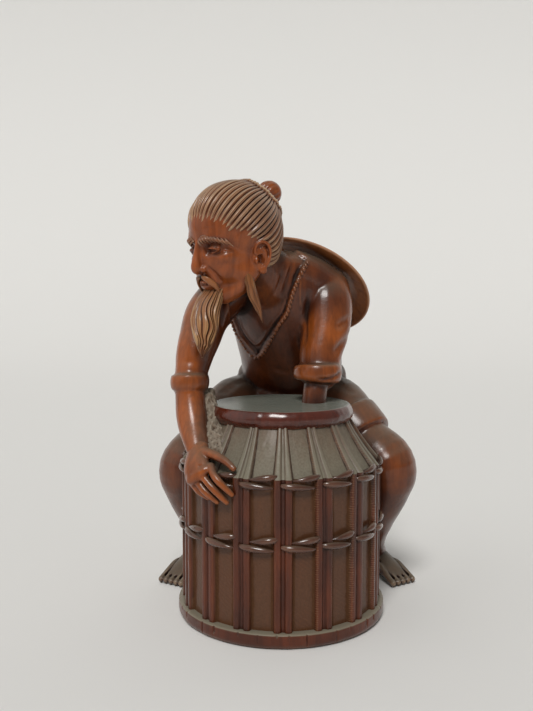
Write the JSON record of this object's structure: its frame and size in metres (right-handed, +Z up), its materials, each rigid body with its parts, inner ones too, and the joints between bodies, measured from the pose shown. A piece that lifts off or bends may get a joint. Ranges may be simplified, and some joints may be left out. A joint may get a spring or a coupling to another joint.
{
  "type": "carved wooden figurine",
  "caption": "Carved boxwood figurine of an old fisherman with a straw hat on his back, bending over a round lidded fish basket with one arm inside it; stands flat.",
  "frame": {"origin": "centre of the basket's flat foot, on the surface it stands on", "axes": "+Z up, -Y is the front of the basket, +X is the man's left"},
  "size_m": [0.0582, 0.0608, 0.0886],
  "materials": {
    "boxwood": "polished, with dark patina in the cuts"
  },
  "bodies": {
    "root": {"fisherman_figurine": "boxwood"}
  },
  "joints": []
}
